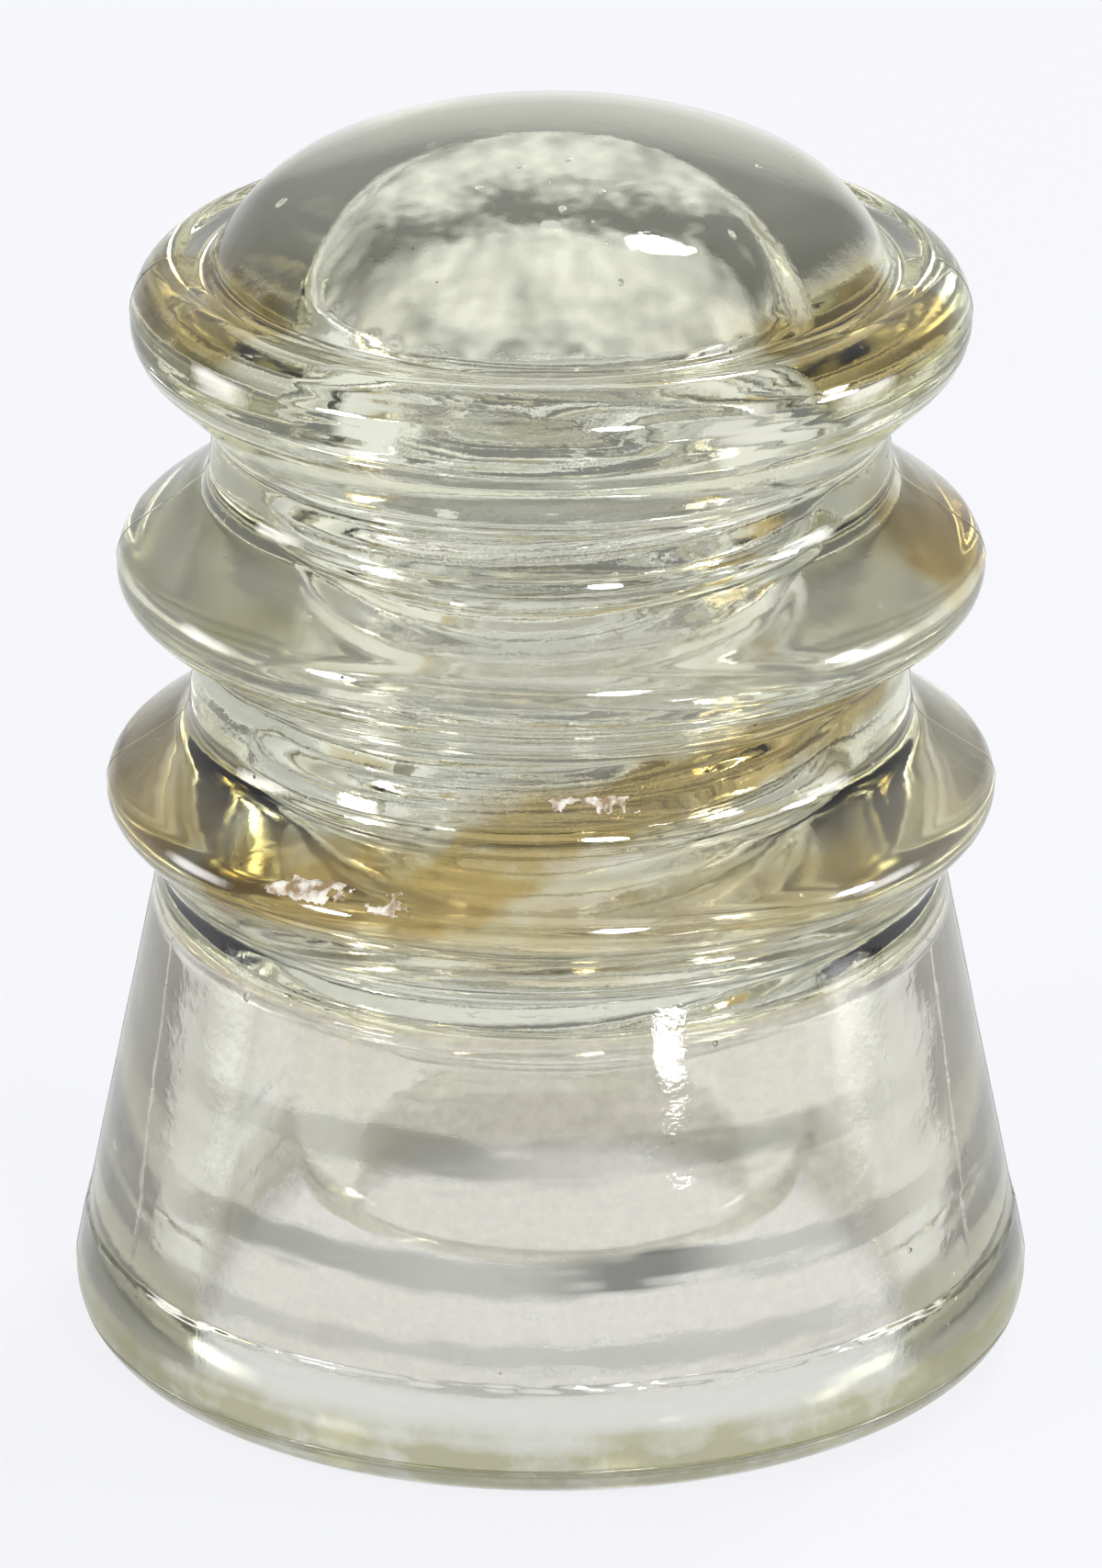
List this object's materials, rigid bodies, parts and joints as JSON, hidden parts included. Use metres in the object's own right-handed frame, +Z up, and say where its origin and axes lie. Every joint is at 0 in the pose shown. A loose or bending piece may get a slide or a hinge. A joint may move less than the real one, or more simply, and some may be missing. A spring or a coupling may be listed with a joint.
{
  "type": "pin insulator",
  "caption": "Clear pressed-glass pin insulator with a domed crown, ringed wire grooves, a flared double skirt and a threaded pin hole.",
  "frame": {"origin": "centre of the base rim, on the surface that the skirt stands on", "axes": "+Z up along the pin hole's axis, towards the crown; +X and +Y are level, with the mould seams at +X and -X"},
  "size_m": [0.072, 0.072, 0.0953],
  "materials": {
    "glass": "clear pressed glass with a faint straw tint, wavy fire-polished faces, rust-coloured stain and specks"
  },
  "bodies": {
    "root": {"glass_shell": "glass"}
  },
  "joints": []
}
